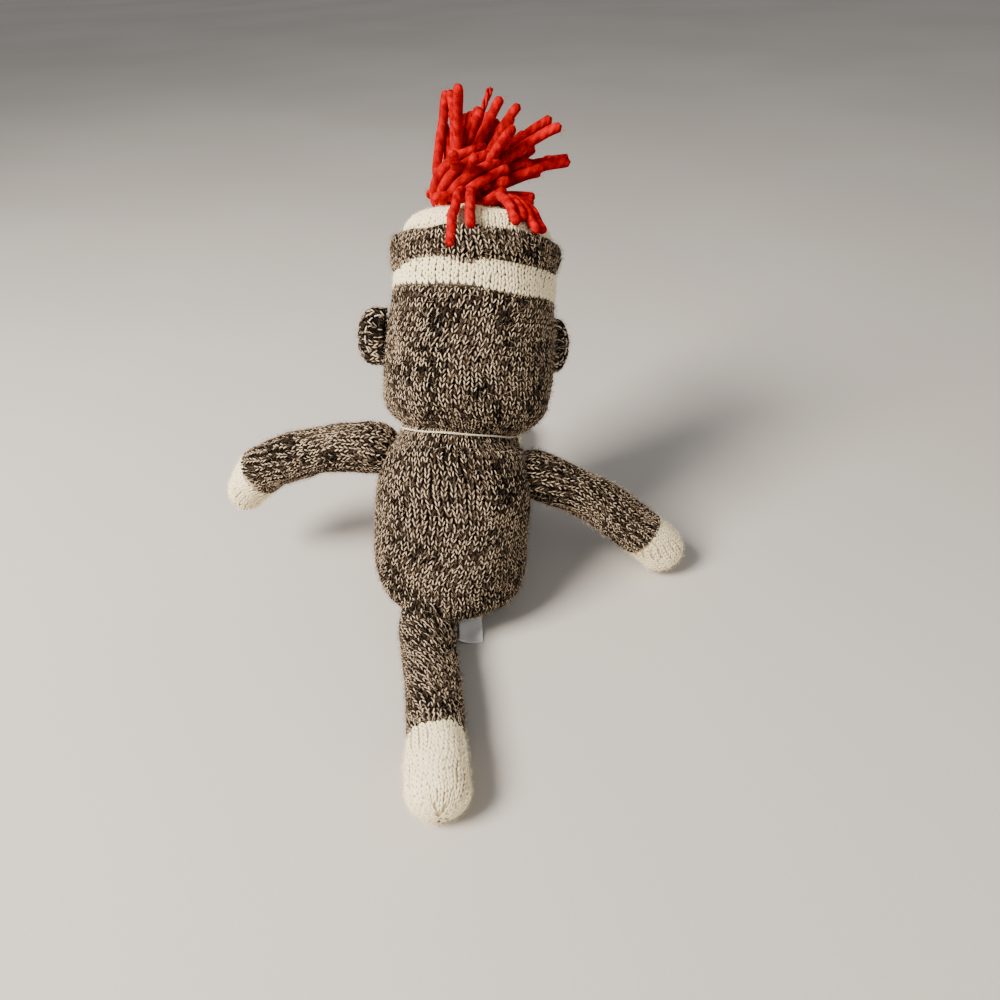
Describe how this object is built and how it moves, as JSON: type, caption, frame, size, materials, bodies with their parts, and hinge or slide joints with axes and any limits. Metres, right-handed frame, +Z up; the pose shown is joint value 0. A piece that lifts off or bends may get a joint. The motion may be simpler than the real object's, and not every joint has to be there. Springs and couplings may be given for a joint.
{
  "type": "knitted sock monkey doll",
  "caption": "Small stuffed doll of marled brown knit that sits on the floor, with a cream banded hat, red yarn pompom, ears, arms, legs and tail.",
  "frame": {"origin": "middle of the flat on the underside of the body, where the doll sits on the floor", "axes": "+Z up, -Y the way the doll faces, +Y toward its back and tail, +X the doll's left"},
  "size_m": [0.1609, 0.1895, 0.1537],
  "materials": {
    "marled_knit": "marled brown and cream yarn knitted in stockinette, slightly fuzzy",
    "cream_knit": "plain cream yarn knitted in stockinette",
    "red_yarn": "soft twisted wool yarn",
    "red_thread": "embroidered",
    "black_thread": "embroidered",
    "cream_thread": "twisted cotton thread",
    "white_tape": "satin tape, blank",
    "stuffing": "loose fibre filling"
  },
  "bodies": {
    "torso": {"torso": "marled_knit", "care_label": "white_tape"},
    "neck": {"neck_stuffing": "stuffing"},
    "head": {"head": "marled_knit", "muzzle": "cream_knit", "mouth": "red_thread", "left_eye": "black_thread", "right_eye": "black_thread", "hat_band": "cream_knit", "hat_crown": "cream_knit", "hat_cuff": "marled_knit", "pompom": "red_yarn", "pompom_tie": "cream_thread", "neck_seam_thread": "cream_thread"},
    "left_ear": {"left_ear": "marled_knit"},
    "right_ear": {"right_ear": "marled_knit"},
    "left_shoulder": {"left_arm_stuffing": "stuffing"},
    "left_arm": {"left_arm": "marled_knit", "left_hand": "cream_knit"},
    "right_shoulder": {"right_arm_stuffing": "stuffing"},
    "right_arm": {"right_arm": "marled_knit", "right_hand": "cream_knit"},
    "left_hip": {"left_leg_stuffing": "stuffing"},
    "left_leg": {"left_leg": "marled_knit", "left_foot": "cream_knit"},
    "right_hip": {"right_leg_stuffing": "stuffing"},
    "right_leg": {"right_leg": "marled_knit", "right_foot": "cream_knit"},
    "tail_root": {"tail_stuffing": "stuffing"},
    "tail": {"tail": "marled_knit", "tail_tip": "cream_knit"}
  },
  "joints": [
    {"name": "neck_turn", "type": "hinge", "parent": "torso", "child": "neck", "pos_m": [-0.0013, -0.00914, 0.05077], "axis": [-0.1016, -0.4408, 0.8918], "range_deg": [-34, 30]},
    {"name": "head_nod", "type": "hinge", "parent": "neck", "child": "head", "pos_m": [-0.0013, -0.00914, 0.05077], "axis": [0.952, 0.1801, 0.2474], "range_deg": [-12, 12]},
    {"name": "left_ear_fold", "type": "hinge", "parent": "head", "child": "left_ear", "pos_m": [0.01875, -0.02281, 0.08673], "axis": [0.128, 0.5, -0.8565], "range_deg": [-30, 30]},
    {"name": "right_ear_fold", "type": "hinge", "parent": "head", "child": "right_ear", "pos_m": [-0.03341, -0.03408, 0.07585], "axis": [-0.128, -0.5, 0.8565], "range_deg": [-30, 30]},
    {"name": "left_shoulder_raise", "type": "hinge", "parent": "torso", "child": "left_shoulder", "pos_m": [0.02461, -0.00942, 0.05434], "axis": [0.0489, -0.9019, -0.4291], "range_deg": [-20, 30]},
    {"name": "left_shoulder_swing", "type": "hinge", "parent": "left_shoulder", "child": "left_arm", "pos_m": [0.02461, -0.00942, 0.05434], "axis": [0.2139, 0.4292, -0.8775], "range_deg": [-25, 20]},
    {"name": "right_shoulder_raise", "type": "hinge", "parent": "torso", "child": "right_shoulder", "pos_m": [-0.02675, -0.00685, 0.04308], "axis": [-0.0489, 0.9019, 0.4291], "range_deg": [-2, 50]},
    {"name": "right_shoulder_swing", "type": "hinge", "parent": "right_shoulder", "child": "right_arm", "pos_m": [-0.02675, -0.00685, 0.04308], "axis": [-0.2139, -0.4292, 0.8775], "range_deg": [-25, 24]},
    {"name": "left_hip_raise", "type": "hinge", "parent": "torso", "child": "left_hip", "pos_m": [0.0118, -0.0208, 0.0083], "axis": [-1, 0, 0], "range_deg": [-30, 25]},
    {"name": "left_hip_splay", "type": "hinge", "parent": "left_hip", "child": "left_leg", "pos_m": [0.0118, -0.0208, 0.0083], "axis": [0, 0, 1], "range_deg": [-3, 35]},
    {"name": "right_hip_raise", "type": "hinge", "parent": "torso", "child": "right_hip", "pos_m": [-0.0118, -0.0208, 0.0083], "axis": [-1, 0, 0], "range_deg": [-30, 25]},
    {"name": "right_hip_splay", "type": "hinge", "parent": "right_hip", "child": "right_leg", "pos_m": [-0.0118, -0.0208, 0.0083], "axis": [0, 0, -1], "range_deg": [-3, 35]},
    {"name": "tail_lift", "type": "hinge", "parent": "torso", "child": "tail_root", "pos_m": [0.01, 0.0266, 0.0083], "axis": [1, 0, 0], "range_deg": [-20, 14]},
    {"name": "tail_swing", "type": "hinge", "parent": "tail_root", "child": "tail", "pos_m": [0.01, 0.0266, 0.0083], "axis": [0, 0, 1], "range_deg": [-30, 8]}
  ]
}
